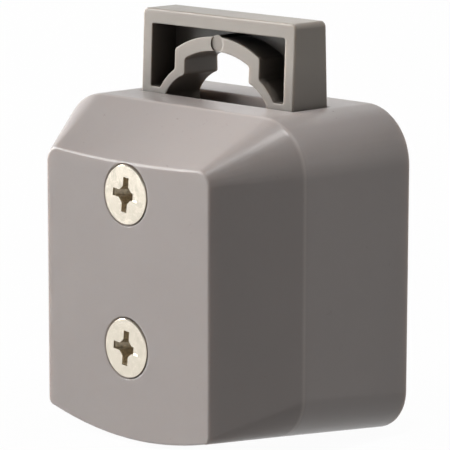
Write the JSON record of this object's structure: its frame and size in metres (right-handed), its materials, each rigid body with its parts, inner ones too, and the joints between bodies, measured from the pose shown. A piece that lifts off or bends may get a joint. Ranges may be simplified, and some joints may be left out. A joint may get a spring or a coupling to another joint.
{
  "type": "push-button furniture lock",
  "caption": "Moulded push-button rim lock for a furniture door: slanted grey case with countersunk fixing screws, cam-driven dead bolt with an arched frame, and a push-push plunger.",
  "frame": {"origin": "where the axis of the push button meets the rear mounting face of the case", "axes": "+Z the way the bolt shoots, +Y out of the rear mounting face towards the door, -Y out of the front face, +X to the right seen from the front"},
  "size_m": [0.0424, 0.04, 0.0509],
  "materials": {
    "case_plastic": "warm grey moulded plastic, satin to glossy",
    "bolt_plastic": "warm grey moulded acetal, satin",
    "dark_plastic": "dark grey moulded plastic, satin",
    "nickel": "nickel-plated steel",
    "spring_steel": "bright steel",
    "brass": "turned brass"
  },
  "bodies": {
    "housing": {"case": "case_plastic", "back_plate": "dark_plastic", "plunger_bush": "brass", "main_spring": "spring_steel", "upper_fixing_screw": "nickel", "lower_fixing_screw": "nickel", "back_plate_screw_1": "spring_steel", "back_plate_screw_2": "spring_steel", "back_plate_screw_3": "spring_steel", "back_plate_screw_4": "spring_steel"},
    "plunger_set": {"cam_slider": "dark_plastic", "cam_pin_left": "spring_steel", "cam_pin_right": "spring_steel", "plunger": "spring_steel", "plunger_pin": "spring_steel", "spring_washer": "spring_steel", "push_button": "case_plastic", "button_screw": "nickel"},
    "bolt": {"bolt": "bolt_plastic"},
    "latch": {"latch_wire": "spring_steel"}
  },
  "joints": [
    {"name": "button_slide", "type": "slide", "parent": "housing", "child": "plunger_set", "axis": [0, 1, 0], "range_m": [-0.0006, 0.0084], "deforming": ["main_spring"]},
    {"name": "bolt_slide", "type": "slide", "parent": "housing", "child": "bolt", "axis": [0, 0, -1], "range_m": [-0.00076, 0.01051]},
    {"name": "latch_swing", "type": "hinge", "parent": "housing", "child": "latch", "pos_m": [0.0078, -0.00375, -0.0083], "axis": [1, 0, 0], "range_deg": [-1, 13.5]}
  ],
  "couplings": [
    {"joint": "bolt_slide", "follows": "button_slide", "ratio": 1.25},
    {"joint": "latch_swing", "follows": "button_slide", "rad_per_m": 27.5}
  ]
}
